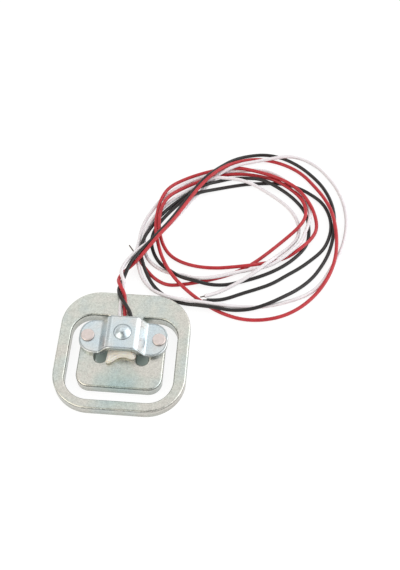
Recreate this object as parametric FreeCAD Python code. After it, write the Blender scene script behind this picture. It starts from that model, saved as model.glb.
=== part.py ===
"""A 50 kg half-bridge weighing load cell: spring plate, load bridge, strain gauge and three free wires.

Millimetres. The plate lies flat on z = 0 with its centre at the origin, the bridge on top (+Z) and the
wires leaving over the rear edge (+Y).
"""
import FreeCAD, Part
import math
import os

Vector = FreeCAD.Vector
# Two places closer than this are the same place
TOLERANCE = 1e-6

# Spring plate, stamped from one sheet
PLATE_SIDE = 34.0
PLATE_THICKNESS = 3.0
PLATE_CORNER = 10.0
SIDE_BAND = 3.1
REAR_BAND = 7.2
FRONT_BAND = 2.6
WINDOW_REAR_CORNER = 5.5
WINDOW_FRONT_CORNER = 6.5
ISLAND_FRONT_GAP = 3.5
EAR_GAP = 2.4
EAR_OUTER_EDGE = 1.75
EAR_INNER_EDGE = 2.25
EAR_CORNER = 2.6
ISLAND_CORNER = 3.5
BEAM_WIDTH = 7.6
BEAM_LENGTH = 13.9
BEAM_ROOT_FILLET = 1.2
DIE_ROLL = 0.45

# Load bridge, pressed from sheet
BRIDGE_SHEET = 1.2
BRIDGE_LENGTH = 23.0
BRIDGE_DEPTH = 9.7
BRIDGE_END_CORNER = 4.2
BRIDGE_HEADROOM = 3.0
PLATFORM_WIDTH = 6.3
RISER_RUN = 2.15
BEND_RADIUS = 0.7
DOME_DIAMETER = 4.4
DOME_HEIGHT = 1.1
DOME_WALL = 0.9
DOME_FILLET = 0.15
BRIDGE_ROLL = 0.3

# Rivets
RIVET_END_DISTANCE = 2.25
RIVET_SHANK_DIAMETER = 2.2
RIVET_HEAD_DIAMETER = 3.5
RIVET_HEAD_HEIGHT = 0.5
RIVET_HEAD_EDGE = 0.3
RIVET_TAIL_DIAMETER = 3.0
RIVET_TAIL_DEPTH = 0.6

# Strain gauge on the beam
CARRIER_WIDTH = 6.0
CARRIER_LENGTH = 7.8
CARRIER_THICKNESS = 0.08
CARRIER_FRONT_MARGIN = 2.2
FOIL_THICKNESS = 0.04
TRACE_WIDTH = 0.2
GRID_LENGTH = 2.4
GRID_SPACING = 0.85
FRONT_GRID_LINES = 8
FRONT_GRID_PITCH = 0.5
REAR_GRID_LINES = 5
REAR_GRID_PITCH = 0.375
TAB_LENGTH = 0.8
TAB_WIDTH = 0.9
TAB_MARGIN = 0.25
GRID_MARGIN = 0.35
COMMON_TRACE_OFFSET = 0.25

# Wires, their stripped ends and solder
WIRE_DIAMETER = 1.0
CORE_DIAMETER = 0.55
CORE_LENGTH = 1.1
TIP_DIAMETER = 0.55
SOLDER_DIAMETER = 1.25
SOLDER_SINK = 0.2
WIRE_LIFT = 0.1
WIRE_START_GAP = 0.1
ARC_SHARE = 0.45

# Silicone coat
COAT_HEIGHT = 1.9
COAT_INSET = 0.2
COAT_RUN = 1.0
COAT_FRONT_COVER = 2.4
COAT_REAR_COVER = 1.2
# Share of the outline kept at each share of the coat's height
COAT_SECTIONS = [(0.92, 0.0), (1.0, 0.5), (0.92, 0.86), (0.65, 1.0)]

# Worked out from the sizes above
PLATE_HALF = PLATE_SIDE / 2
WINDOW_HALF = PLATE_HALF - SIDE_BAND
WINDOW_REAR = PLATE_HALF - REAR_BAND
WINDOW_FRONT = FRONT_BAND - PLATE_HALF
ISLAND_FRONT = WINDOW_FRONT + ISLAND_FRONT_GAP
EAR_REAR = WINDOW_REAR - EAR_GAP
BRIDGE_HALF = BRIDGE_LENGTH / 2
RIVET_X = BRIDGE_HALF - RIVET_END_DISTANCE
ISLAND_HALF = RIVET_X + EAR_OUTER_EDGE
BEAM_HALF = BEAM_WIDTH / 2
SLOT_WIDTH = RIVET_X - EAR_INNER_EDGE - BEAM_HALF
BEAM_FRONT = WINDOW_REAR - BEAM_LENGTH
LOAD_LINE = WINDOW_REAR - BEAM_LENGTH / 2
PLATFORM_HALF = PLATFORM_WIDTH / 2
FOOT_TOP = PLATE_THICKNESS + BRIDGE_SHEET
PLATFORM_UNDERSIDE = PLATE_THICKNESS + BRIDGE_HEADROOM
PLATFORM_TOP = PLATFORM_UNDERSIDE + BRIDGE_SHEET
CARRIER_FRONT = BEAM_FRONT + CARRIER_FRONT_MARGIN
CARRIER_REAR = CARRIER_FRONT + CARRIER_LENGTH
CARRIER_TOP = PLATE_THICKNESS + CARRIER_THICKNESS
FOIL_TOP = CARRIER_TOP + FOIL_THICKNESS
WIRE_RADIUS = WIRE_DIAMETER / 2
WIRE_START = CARRIER_REAR + WIRE_START_GAP
ON_PLATE = PLATE_THICKNESS + WIRE_RADIUS + WIRE_LIFT
COAT_HALF = BEAM_HALF - COAT_INSET
COAT_FRONT = CARRIER_FRONT - COAT_FRONT_COVER
COAT_REAR = CARRIER_REAR + COAT_REAR_COVER
COAT_MIDDLE = (COAT_FRONT + COAT_REAR) / 2

# Outline of the silicone coat seen from above, uneven as it ran: a long lobe at the front left
COAT_OUTLINE = [
    (-COAT_HALF + COAT_RUN, COAT_REAR - 0.2 * COAT_RUN),
    (-COAT_HALF + 0.1 * COAT_RUN, COAT_REAR - 2.1 * COAT_RUN),
    (-COAT_HALF, COAT_MIDDLE),
    (-COAT_HALF - 0.1 * COAT_RUN, COAT_FRONT + 1.7 * COAT_RUN),
    (-COAT_HALF + 0.4 * COAT_RUN, COAT_FRONT + 0.1 * COAT_RUN),
    (-COAT_HALF + 1.4 * COAT_RUN, COAT_FRONT),
    (-COAT_HALF + 2.7 * COAT_RUN, COAT_FRONT + COAT_RUN),
    (COAT_HALF - 2.7 * COAT_RUN, COAT_FRONT + 1.4 * COAT_RUN),
    (COAT_HALF - 0.9 * COAT_RUN, COAT_FRONT + 1.2 * COAT_RUN),
    (COAT_HALF - 0.1 * COAT_RUN, COAT_FRONT + 1.9 * COAT_RUN),
    (COAT_HALF, COAT_MIDDLE),
    (COAT_HALF - 0.1 * COAT_RUN, COAT_REAR - 2.1 * COAT_RUN),
    (COAT_HALF - COAT_RUN, COAT_REAR - 0.2 * COAT_RUN),
    (0.0, COAT_REAR),
]

# Routes of the wires from the solder to the stripped end: across, back and height of the wire's middle
RED_ROUTE = [
    (0.0, WIRE_START, ON_PLATE), (-0.5, WIRE_START + 2.8, ON_PLATE - 0.05),
    (-0.9, 11.2, 3.55), (-1.1, 13.6, 3.6), (-1.7, 16.0, 4.5),
    (-3.3, 18.3, 4.7), (-4.3, 20.9, 3.3), (-3.8, 23.4, 2.1), (-2.2, 25.4, 1.8), (0.6, 27.5, 2.75),
    (3.4, 31.3, 2.85), (6.1, 36.2, 2.75), (9.4, 41.6, 2.2), (12.2, 47.3, 1.7), (15.2, 53.0, 1.75),
    (18.6, 57.8, 2.55), (22.3, 62.6, 2.2), (26.4, 65.9, 1.65), (31.2, 68.0, 0.8), (36.6, 67.8, 0.5),
    (41.7, 66.0, 0.5), (46.0, 63.2, 0.5), (49.4, 59.2, 0.5), (52.2, 54.6, 1.0), (54.3, 49.4, 1.65),
    (55.3, 44.0, 1.65), (55.7, 38.6, 1.6), (55.2, 33.0, 1.65), (53.2, 27.4, 1.4), (50.2, 22.4, 0.6),
    (46.2, 17.9, 0.5), (41.4, 14.6, 0.5), (36.0, 12.9, 0.5), (30.6, 12.6, 0.5), (25.4, 13.9, 0.5),
    (20.8, 16.2, 0.5), (16.4, 19.8, 0.8), (12.8, 22.6, 1.7), (10.4, 25.4, 1.8), (8.6, 28.2, 1.6),
    (6.8, 32.0, 1.1), (5.2, 36.2, 1.5), (4.2, 40.6, 1.65), (3.9, 45.2, 1.65), (4.5, 50.0, 1.4),
    (6.6, 54.8, 0.6), (10.6, 58.7, 0.5), (15.4, 61.3, 0.5), (20.6, 63.0, 0.5), (25.8, 64.2, 0.5),
    (31.0, 63.8, 0.9), (35.6, 62.5, 1.7), (40.8, 61.2, 2.3), (45.0, 57.9, 1.65), (48.0, 53.1, 0.8),
    (49.5, 48.2, 0.5), (50.0, 43.8, 0.8), (48.4, 39.6, 1.5), (45.6, 36.4, 1.65), (42.2, 33.6, 0.7),
    (38.2, 31.9, 0.5), (34.6, 30.8, 1.2), (31.2, 29.8, 1.75), (27.4, 28.9, 0.9), (22.4, 28.2, 0.5),
    (17.2, 28.3, 0.5), (12.6, 29.6, 0.5), (9.0, 31.8, 0.5), (6.8, 35.0, 1.0), (5.6, 38.8, 1.6),
    (5.2, 43.0, 1.65), (5.5, 47.4, 1.6), (7.0, 51.6, 1.5), (10.6, 55.4, 0.5), (15.2, 58.5, 0.5),
    (20.2, 61.0, 0.5), (24.9, 62.1, 0.5), (29.8, 62.4, 0.5), (34.2, 61.6, 0.9), (38.0, 59.5, 1.75),
    (41.8, 56.5, 1.2), (44.5, 53.0, 1.4), (45.7, 49.2, 1.65), (45.2, 46.0, 1.65), (43.0, 42.6, 1.5),
    (39.6, 38.6, 0.6), (36.1, 34.3, 0.5), (32.6, 30.9, 0.5), (28.6, 27.9, 0.5), (24.0, 25.6, 0.5),
    (18.8, 23.8, 0.5), (13.6, 22.4, 0.5), (9.4, 21.8, 0.5), (5.8, 23.6, 0.5), (3.2, 26.4, 0.5),
    (1.4, 29.0, 0.5), (-0.5, 31.6, 0.5),
]
BLACK_ROUTE = [
    (1.5, WIRE_START, ON_PLATE), (1.4, WIRE_START + 2.4, ON_PLATE + 0.15),
    (0.7, 10.4, 4.4), (-0.9, 12.6, 4.7), (-2.7, 14.9, 4.8),
    (-3.8, 17.3, 3.8), (-3.5, 19.9, 2.5), (-2.9, 22.4, 2.5), (-2.0, 25.0, 3.1), (-0.5, 27.8, 3.4),
    (2.2, 32.1, 2.9), (5.2, 36.8, 2.75), (8.5, 42.2, 2.3), (11.3, 47.9, 1.7), (14.2, 53.6, 1.75),
    (17.6, 58.6, 2.3), (21.2, 63.0, 1.9), (24.9, 66.6, 1.5), (29.4, 69.2, 0.6), (34.6, 70.2, 0.5),
    (39.6, 69.2, 0.5), (44.4, 66.6, 0.5), (48.2, 63.2, 0.5), (51.4, 59.4, 0.5), (53.6, 55.0, 0.5),
    (54.7, 50.2, 0.5), (54.8, 45.6, 0.5), (54.5, 40.8, 0.5), (53.4, 36.0, 0.5), (51.4, 31.4, 0.5),
    (48.6, 26.8, 0.5), (44.6, 22.8, 0.8), (40.8, 19.8, 1.65), (37.0, 17.4, 1.65), (32.6, 15.6, 1.2),
    (27.6, 15.0, 0.9), (23.2, 15.2, 1.65), (18.6, 15.6, 1.6), (14.4, 16.3, 1.0), (11.0, 17.3, 1.4),
    (8.2, 19.0, 1.65), (5.4, 21.6, 1.3), (3.4, 24.8, 1.4), (1.9, 28.4, 1.75), (0.9, 32.2, 0.9),
    (1.3, 36.2, 0.5), (2.4, 40.2, 0.5), (4.6, 44.2, 0.5), (7.4, 48.2, 0.5), (10.8, 51.8, 0.5),
    (14.4, 54.7, 0.5), (17.8, 56.7, 0.5), (21.3, 58.9, 0.5), (25.0, 60.4, 0.5), (29.2, 60.7, 0.6),
    (33.4, 59.8, 1.7), (37.2, 58.1, 1.4), (41.0, 55.2, 0.5), (44.2, 51.9, 0.5), (46.4, 48.6, 0.5),
    (47.6, 45.0, 0.5), (47.7, 41.4, 0.5), (47.2, 38.2, 0.5), (45.2, 34.9, 0.5), (41.8, 31.3, 0.5),
    (37.8, 28.4, 0.5), (33.6, 26.2, 0.5), (29.6, 24.6, 0.5), (25.2, 23.1, 0.5), (20.8, 22.7, 0.9),
    (16.8, 23.2, 1.75), (12.8, 24.3, 1.1), (9.6, 26.0, 0.5), (6.8, 28.6, 0.5), (4.8, 31.6, 0.5),
    (3.6, 35.2, 0.5), (3.7, 38.8, 0.5), (5.0, 42.2, 0.5), (7.0, 45.6, 0.5), (9.4, 48.8, 0.5),
    (12.4, 51.6, 0.5), (16.2, 53.8, 0.5), (20.6, 55.9, 0.5), (25.2, 57.4, 0.5), (30.0, 58.6, 0.5),
    (34.8, 59.2, 0.5), (39.6, 59.5, 0.5), (44.2, 58.4, 0.5), (48.0, 56.2, 0.5), (51.4, 53.4, 0.5),
    (53.1, 49.6, 0.5), (53.6, 45.4, 0.5), (53.0, 41.2, 0.5), (51.3, 37.2, 0.5), (48.4, 33.8, 0.5),
    (45.4, 30.6, 0.5), (41.8, 27.6, 0.5), (38.0, 24.6, 0.5), (34.0, 22.6, 0.5), (29.8, 20.8, 0.5),
    (26.2, 19.0, 0.5), (23.2, 17.95, 0.75), (20.8, 17.7, 1.05),
]
WHITE_ROUTE = [
    (-1.5, WIRE_START, ON_PLATE), (-2.0, WIRE_START + 3.0, ON_PLATE - 0.05),
    (-2.3, 12.0, 3.55), (-2.35, 15.0, 3.55), (-2.5, 18.0, 3.5), (-2.7, 20.6, 3.6), (-3.7, 23.2, 3.6),
    (-3.2, 25.7, 3.3), (-1.5, 28.6, 2.95), (1.2, 32.9, 2.85),
    (4.2, 37.6, 2.9), (6.3, 40.9, 2.75), (8.3, 43.9, 1.5), (10.6, 46.3, 0.5), (13.4, 48.9, 0.5),
    (16.4, 52.6, 1.5), (19.5, 57.0, 2.75), (22.8, 60.6, 2.6), (26.8, 63.9, 1.9), (31.5, 66.2, 1.5),
    (36.6, 67.9, 1.75), (41.2, 69.2, 1.7), (45.8, 69.0, 0.8), (50.0, 66.6, 0.5), (53.4, 62.6, 0.5),
    (56.2, 57.8, 0.5), (57.9, 52.2, 0.5), (58.4, 46.6, 0.5), (57.8, 41.2, 0.5), (56.4, 36.0, 0.5),
    (54.0, 31.0, 0.5), (51.2, 26.4, 0.5), (47.8, 22.8, 0.5), (43.2, 20.4, 0.5), (38.6, 18.6, 0.5),
    (33.8, 17.2, 0.5), (28.8, 16.5, 0.6), (24.4, 16.5, 1.4), (20.0, 16.9, 1.85), (15.6, 17.7, 1.1),
    (11.4, 18.2, 0.5), (7.8, 19.0, 0.5), (4.8, 20.9, 0.6), (2.6, 23.8, 1.1), (0.9, 27.2, 1.65),
    (-0.2, 31.0, 1.75), (-0.9, 35.2, 0.8), (-0.9, 39.4, 0.5), (0.4, 43.8, 0.5), (2.0, 48.2, 0.5),
    (4.2, 53.4, 0.5), (7.8, 58.1, 0.5), (12.8, 61.7, 0.5), (18.4, 63.7, 0.5), (23.6, 65.0, 0.5),
    (29.0, 65.5, 0.5), (33.2, 64.6, 0.5), (36.8, 62.3, 0.5), (40.6, 59.5, 1.75), (44.0, 56.6, 1.2),
    (46.6, 52.4, 0.8), (47.3, 48.2, 1.55), (46.9, 44.4, 1.65), (45.9, 40.6, 0.9), (44.4, 37.6, 0.5),
    (42.0, 34.9, 1.5), (39.4, 32.3, 1.8), (36.4, 30.0, 1.6), (32.6, 27.9, 1.5), (28.6, 26.6, 1.5),
    (25.0, 27.0, 1.65), (21.0, 26.4, 0.9), (16.6, 25.8, 0.9), (12.8, 25.8, 2.0), (9.4, 26.8, 3.0),
    (5.6, 29.0, 1.9), (2.8, 31.4, 1.65), (0.9, 34.8, 1.9), (0.2, 38.6, 0.9), (1.2, 42.4, 0.5),
    (3.2, 45.8, 0.5), (6.4, 49.2, 0.5), (9.8, 52.6, 0.5), (13.4, 55.6, 0.5), (17.0, 57.9, 0.6),
    (20.2, 59.2, 1.5), (23.4, 59.3, 1.7), (26.8, 58.5, 1.7), (30.4, 57.4, 1.5), (34.4, 56.2, 0.5),
    (38.3, 53.8, 0.5), (41.6, 51.0, 0.5), (43.9, 47.5, 0.5), (44.8, 43.5, 0.5), (44.0, 39.5, 0.5),
    (41.4, 36.4, 0.5), (38.0, 33.8, 1.3), (34.4, 31.4, 2.4), (31.2, 28.8, 2.75), (29.6, 26.0, 2.6),
    (27.4, 23.6, 1.8), (24.4, 21.0, 0.8), (22.3, 19.55, 1.1), (20.3, 18.5, 1.45),
]

# Each wire's route and the far end of its stripped tip
WIRES = {
    "red": (RED_ROUTE, (-2.7, 34.1, 0.4)),
    "black": (BLACK_ROUTE, (19.9, 17.64, 1.17)),
    "white": (WHITE_ROUTE, (19.15, 17.93, 1.65)),
}


def edges_at(shape, middles):
    """The edges of a shape whose middle is at one of some points."""
    return [edge for edge in shape.Edges
            if any(edge.CenterOfMass.distanceToPoint(middle) < TOLERANCE for middle in middles)]


def rounded_block(x0, x1, y0, y1, front_corner, rear_corner, z0, height):
    """A block with upright rounded corners, its front (low y) and rear corners of their own radius."""
    block = Part.makeBox(x1 - x0, y1 - y0, height, Vector(x0, y0, z0))
    for y, radius in ((y0, front_corner), (y1, rear_corner)):
        corners = [Vector(x, y, z0 + height / 2) for x in (x0, x1)]
        block = block.makeFillet(radius, edges_at(block, corners))
    return block


def rivet_tool(shank_bottom, shank_top):
    """The space that one rivet's shank and countersunk tail take, standing on the origin."""
    shank = Part.makeCylinder(RIVET_SHANK_DIAMETER / 2, shank_top - shank_bottom, Vector(0, 0, shank_bottom))
    tail = Part.makeCone(RIVET_TAIL_DIAMETER / 2, RIVET_SHANK_DIAMETER / 2, RIVET_TAIL_DEPTH)
    return shank.fuse(tail)


def rivet_places():
    """The middles of the two rivets, on the load line either side of the beam."""
    return [Vector(side * RIVET_X, LOAD_LINE, 0) for side in (-1, 1)]


def moved(shape, place):
    """A copy of a shape, moved by a vector."""
    copy = shape.copy()
    copy.translate(place)
    return copy


def make_spring_plate():
    """The square frame with its window, the island with two slots and ears, and the beam between them."""
    frame = rounded_block(-PLATE_HALF, PLATE_HALF, -PLATE_HALF, PLATE_HALF,
                          PLATE_CORNER, PLATE_CORNER, 0, PLATE_THICKNESS)
    frame = frame.cut(rounded_block(-WINDOW_HALF, WINDOW_HALF, WINDOW_FRONT, WINDOW_REAR,
                                    WINDOW_FRONT_CORNER, WINDOW_REAR_CORNER, 0, PLATE_THICKNESS))
    island = rounded_block(-ISLAND_HALF, ISLAND_HALF, ISLAND_FRONT, EAR_REAR,
                           ISLAND_CORNER, EAR_CORNER, 0, PLATE_THICKNESS)
    slot_radius = SLOT_WIDTH / 2
    slot_centre = BEAM_FRONT + slot_radius
    for side in (-1, 1):
        x = side * (BEAM_HALF + slot_radius)
        slot = Part.makeBox(SLOT_WIDTH, WINDOW_REAR - slot_centre, PLATE_THICKNESS,
                            Vector(x - slot_radius, slot_centre, 0))
        slot = slot.fuse(Part.makeCylinder(slot_radius, PLATE_THICKNESS, Vector(x, slot_centre, 0)))
        island = island.cut(slot)
    beam = Part.makeBox(BEAM_WIDTH, BEAM_LENGTH, PLATE_THICKNESS, Vector(-BEAM_HALF, BEAM_FRONT, 0))
    plate = frame.fuse([island, beam]).removeSplitter()
    roots = [Vector(side * BEAM_HALF, WINDOW_REAR, PLATE_THICKNESS / 2) for side in (-1, 1)]
    plate = plate.makeFillet(BEAM_ROOT_FILLET, edges_at(plate, roots))
    rim = [edge for edge in plate.Edges if abs(edge.BoundBox.ZMin - PLATE_THICKNESS) < TOLERANCE]
    plate = plate.makeFillet(DIE_ROLL, rim)
    for place in rivet_places():
        plate = plate.cut(moved(rivet_tool(0, PLATE_THICKNESS), place))
    return plate


def bridge_section():
    """The hat section of the bridge, a closed outline across the plate."""
    slope = math.atan2(BRIDGE_HEADROOM, RISER_RUN)
    shift = BRIDGE_SHEET * math.tan(slope / 2)
    foot = PLATFORM_HALF + RISER_RUN
    lower = [(BRIDGE_HALF, PLATE_THICKNESS), (foot, PLATE_THICKNESS), (PLATFORM_HALF, PLATFORM_UNDERSIDE)]
    upper = [(PLATFORM_HALF + shift, PLATFORM_TOP), (foot + shift, FOOT_TOP), (BRIDGE_HALF, FOOT_TOP)]
    right = lower[::-1] + upper[::-1]
    points = [Vector(x, 0, z) for x, z in right + [(-x, z) for x, z in reversed(right)]]
    return Part.Face(Part.makePolygon(points + points[:1]))


def bend_edges(bridge, heights):
    """The straight edges across the bridge at some heights, apart from those at its two ends."""
    return [edge for edge in bridge.Edges
            if edge.BoundBox.YLength > BRIDGE_DEPTH - TOLERANCE
            and abs(edge.CenterOfMass.x) < BRIDGE_HALF - TOLERANCE
            and any(abs(edge.CenterOfMass.z - height) < TOLERANCE for height in heights)]


def rolled_edges(bridge):
    """The edges where the bridge's upper side meets its upright cut rim."""
    upper, rim = [], []
    for face in bridge.Faces:
        u0, u1, v0, v1 = face.ParameterRange
        rise = face.normalAt((u0 + u1) / 2, (v0 + v1) / 2).z
        if rise > TOLERANCE:
            upper += face.Edges
        elif rise > -TOLERANCE:
            rim += face.Edges
    return [edge for edge in upper if any(edge.isSame(other) for other in rim)]


def make_load_bridge():
    """The pressed bridge: bent hat section with round ends, a hollow dome and two rivet holes."""
    front = LOAD_LINE - BRIDGE_DEPTH / 2
    bridge = bridge_section().extrude(Vector(0, BRIDGE_DEPTH, 0))
    bridge.translate(Vector(0, front, 0))
    bridge = bridge.makeFillet(BEND_RADIUS, bend_edges(bridge, (FOOT_TOP, PLATFORM_UNDERSIDE)))
    outer_radius = BEND_RADIUS + BRIDGE_SHEET
    bridge = bridge.makeFillet(outer_radius, bend_edges(bridge, (PLATE_THICKNESS, PLATFORM_TOP)))
    blank = rounded_block(-BRIDGE_HALF, BRIDGE_HALF, front, front + BRIDGE_DEPTH,
                          BRIDGE_END_CORNER, BRIDGE_END_CORNER, 0, PLATFORM_TOP + DOME_HEIGHT)
    bridge = bridge.common(blank)
    bridge = bridge.makeFillet(BRIDGE_ROLL, rolled_edges(bridge))
    ball_radius = ((DOME_DIAMETER / 2) ** 2 + DOME_HEIGHT ** 2) / (2 * DOME_HEIGHT)
    ball_centre = Vector(0, LOAD_LINE, PLATFORM_TOP + DOME_HEIGHT - ball_radius)
    cap_block = Part.makeBox(2 * ball_radius, 2 * ball_radius, BRIDGE_SHEET / 2 + DOME_HEIGHT,
                             Vector(-ball_radius, LOAD_LINE - ball_radius, PLATFORM_TOP - BRIDGE_SHEET / 2))
    bridge = bridge.fuse(Part.makeSphere(ball_radius, ball_centre).common(cap_block)).removeSplitter()
    skirt = edges_at(bridge, [Vector(0, LOAD_LINE, PLATFORM_TOP)])
    bridge = bridge.makeFillet(DOME_FILLET, skirt)
    bridge = bridge.cut(Part.makeSphere(ball_radius - DOME_WALL, ball_centre))
    for place in rivet_places():
        bridge = bridge.cut(moved(rivet_tool(0, FOOT_TOP), place))
    return bridge


def make_rivets():
    """Two rivets with flat round heads on the bridge's feet and tails flush with the plate's underside."""
    head = Part.makeCylinder(RIVET_HEAD_DIAMETER / 2, RIVET_HEAD_HEIGHT, Vector(0, 0, FOOT_TOP))
    head = head.makeFillet(RIVET_HEAD_EDGE, edges_at(head, [Vector(0, 0, FOOT_TOP + RIVET_HEAD_HEIGHT)]))
    rivet = rivet_tool(0, FOOT_TOP).fuse(head).removeSplitter()
    return Part.makeCompound([moved(rivet, place) for place in rivet_places()])


def make_gauge_carrier():
    """The film that carries the foil, flat on the beam."""
    return rounded_block(-CARRIER_WIDTH / 2, CARRIER_WIDTH / 2, CARRIER_FRONT, CARRIER_REAR,
                         GRID_MARGIN, GRID_MARGIN, PLATE_THICKNESS, CARRIER_THICKNESS)


def trace(start, end):
    """One straight foil trace between two points of the gauge, square at its ends."""
    half = TRACE_WIDTH / 2
    low = Vector(min(start[0], end[0]) - half, min(start[1], end[1]) - half, CARRIER_TOP)
    size = (abs(end[0] - start[0]) + TRACE_WIDTH, abs(end[1] - start[1]) + TRACE_WIDTH)
    return Part.makeBox(size[0], size[1], FOIL_THICKNESS, low)


def grid(xs, front, rear, first_turn_front):
    """A grid of parallel traces joined by end turns, alternately in front and behind."""
    pieces = [trace((x, front), (x, rear)) for x in xs]
    for number in range(len(xs) - 1):
        at_front = (number % 2 == 0) == first_turn_front
        y = front if at_front else rear
        pieces.append(trace((xs[number], y), (xs[number + 1], y)))
    return pieces


def solder_tabs():
    """The middle of each wire's solder tab, by colour."""
    y = CARRIER_REAR - TAB_MARGIN - TAB_LENGTH / 2
    return {colour: (route[0][0], y) for colour, (route, tip) in WIRES.items()}


def make_gauge_foil():
    """The half bridge etched in one foil: a front and a rear grid, their common trace and three tabs."""
    tabs = solder_tabs()
    front_grid_front = CARRIER_FRONT + GRID_MARGIN
    front_grid_rear = front_grid_front + GRID_LENGTH
    common = front_grid_rear + GRID_SPACING / 2
    rear_grid_front = front_grid_rear + GRID_SPACING
    rear_grid_rear = rear_grid_front + GRID_LENGTH
    span = (FRONT_GRID_LINES - 1) * FRONT_GRID_PITCH
    front_xs = [number * FRONT_GRID_PITCH - span / 2 for number in range(FRONT_GRID_LINES)]
    last = front_xs[-1]
    rear_xs = [last - number * REAR_GRID_PITCH for number in range(REAR_GRID_LINES)]
    pieces = grid(front_xs, front_grid_front, front_grid_rear, True)
    pieces += grid(rear_xs, rear_grid_front, rear_grid_rear, True)
    common_x = tabs["red"][0] - COMMON_TRACE_OFFSET
    pieces.append(trace((front_xs[0], front_grid_rear), (front_xs[0], tabs["white"][1])))
    pieces.append(trace((last, front_grid_rear), (last, common)))
    pieces.append(trace((common_x, common), (last, common)))
    pieces.append(trace((rear_xs[-1], common), (rear_xs[-1], rear_grid_front)))
    pieces.append(trace((common_x, common), (common_x, tabs["red"][1])))
    pieces.append(trace((last, rear_grid_rear), (last, tabs["black"][1])))
    for x, y in tabs.values():
        low = Vector(x - TAB_WIDTH / 2, y - TAB_LENGTH / 2, CARRIER_TOP)
        pieces.append(Part.makeBox(TAB_WIDTH, TAB_LENGTH, FOIL_THICKNESS, low))
    return pieces[0].fuse(pieces[1:]).removeSplitter()


def make_core(colour):
    """The stripped inner end of a wire, straight on from the start of its insulation."""
    route, tip = WIRES[colour]
    start = Vector(*route[0])
    back = (start - Vector(*route[1])).normalize()
    return Part.makeCylinder(CORE_DIAMETER / 2, CORE_LENGTH, start, back)


def make_solder(colour, core):
    """A drop of solder on its tab, round the stripped inner end of the wire."""
    x, y = solder_tabs()[colour]
    radius = SOLDER_DIAMETER / 2
    drop = Part.makeSphere(radius, Vector(x, y, FOIL_TOP + radius - SOLDER_SINK))
    below = Part.makeBox(SOLDER_DIAMETER, SOLDER_DIAMETER, FOIL_TOP, Vector(x - radius, y - radius, 0))
    return drop.cut(below).cut(core)


def wire_path(route, name):
    """Straight runs joined by arcs as large as they allow, as one wire; its tightest radii are printed."""
    points = [Vector(*point) for point in route]
    edges, radii = [], []
    last = points[0]
    for before, corner, after in zip(points, points[1:], points[2:]):
        back = before - corner
        on = after - corner
        reach = ARC_SHARE * min(back.Length, on.Length)
        turn = math.pi - back.getAngle(on)
        radius = reach / math.tan(turn / 2)
        radii.append(radius)
        back.normalize()
        on.normalize()
        inward = (back + on).normalize()
        middle = corner + inward * (radius / math.cos(turn / 2) - radius)
        start = corner + back * reach
        end = corner + on * reach
        edges.append(Part.LineSegment(last, start).toShape())
        edges.append(Part.Arc(start, middle, end).toShape())
        last = end
    edges.append(Part.LineSegment(last, points[-1]).toShape())
    print(name, "radii", " ".join("%.1f" % radius for radius in sorted(radii)[:6]), "mm and up")
    return Part.Wire(edges)


def make_wire(colour):
    """One insulated wire as a round tube along its route, its volume compared with section times length."""
    route, tip = WIRES[colour]
    path = wire_path(route, colour)
    ahead = (Vector(*route[1]) - Vector(*route[0])).normalize()
    section = Part.Wire(Part.Circle(Vector(*route[0]), ahead, WIRE_RADIUS).toShape())
    wire = path.makePipeShell([section], True, False)
    expected = math.pi * WIRE_RADIUS ** 2 * path.Length
    print(colour, "wire", "%.1f mm long," % path.Length, "volume share", "%.4f" % (wire.Volume / expected))
    return wire


def make_tip(colour):
    """The stripped far end of a wire, straight on from its insulation."""
    route, tip = WIRES[colour]
    start = Vector(*route[-1])
    ahead = start - Vector(*route[-2])
    length = Vector(*tip).distanceToPoint(start)
    return Part.makeCylinder(TIP_DIAMETER / 2, length, start, ahead)


def make_silicone_coat(buried):
    """The rounded coat over the gauge and the wires' inner ends, with room cut for what it covers."""
    sections = []
    for share, height in COAT_SECTIONS:
        z = PLATE_THICKNESS + height * COAT_HEIGHT
        points = [Vector(x * share, COAT_MIDDLE + (y - COAT_MIDDLE) * share, z) for x, y in COAT_OUTLINE]
        curve = Part.BSplineCurve()
        curve.interpolate(points, PeriodicFlag=True)
        sections.append(Part.Wire(curve.toShape()))
    coat = Part.makeLoft(sections, True)
    for colour, (route, tip) in WIRES.items():
        start = Vector(*route[0])
        ahead = Vector(*route[1]) - start
        coat = coat.cut(Part.makeCylinder(WIRE_RADIUS, ahead.Length / 2, start, ahead))
    for shape in buried:
        coat = coat.cut(shape)
    return coat


def make_parts():
    """Every node of the load cell by name."""
    parts = {
        "spring_plate": make_spring_plate(),
        "load_bridge": make_load_bridge(),
        "rivets": make_rivets(),
        "gauge_carrier": make_gauge_carrier(),
        "gauge_foil": make_gauge_foil(),
    }
    for colour in WIRES:
        parts[colour + "_core"] = make_core(colour)
        parts[colour + "_solder"] = make_solder(colour, parts[colour + "_core"])
        parts[colour + "_wire"] = make_wire(colour)
        parts[colour + "_wire_tip"] = make_tip(colour)
    inner = ["gauge_carrier", "gauge_foil"]
    inner += [colour + piece for colour in WIRES for piece in ("_core", "_solder")]
    parts["silicone_coat"] = make_silicone_coat([parts[name] for name in inner])
    return parts


if __name__ == "__main__":
    os.makedirs("parts", exist_ok=True)
    for name, shape in make_parts().items():
        shape.exportStep(os.path.join("parts", name + ".step"))
        print(name, len(shape.Solids), "solids, valid", shape.isValid(), "volume %.3f" % shape.Volume)
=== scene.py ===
"""Looks of a weighing load cell: zinc plated steel, pink-tinged rivets, silicone and three loose wires.

Every piece is in metres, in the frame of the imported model. Routes and sizes below are in millimetres.
"""
import logging
import math
from dataclasses import dataclass, field
from enum import Enum
from typing import Dict, List, Optional, Sequence, Tuple, Union

import bmesh
import bpy
from mathutils import Matrix, Vector


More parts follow.
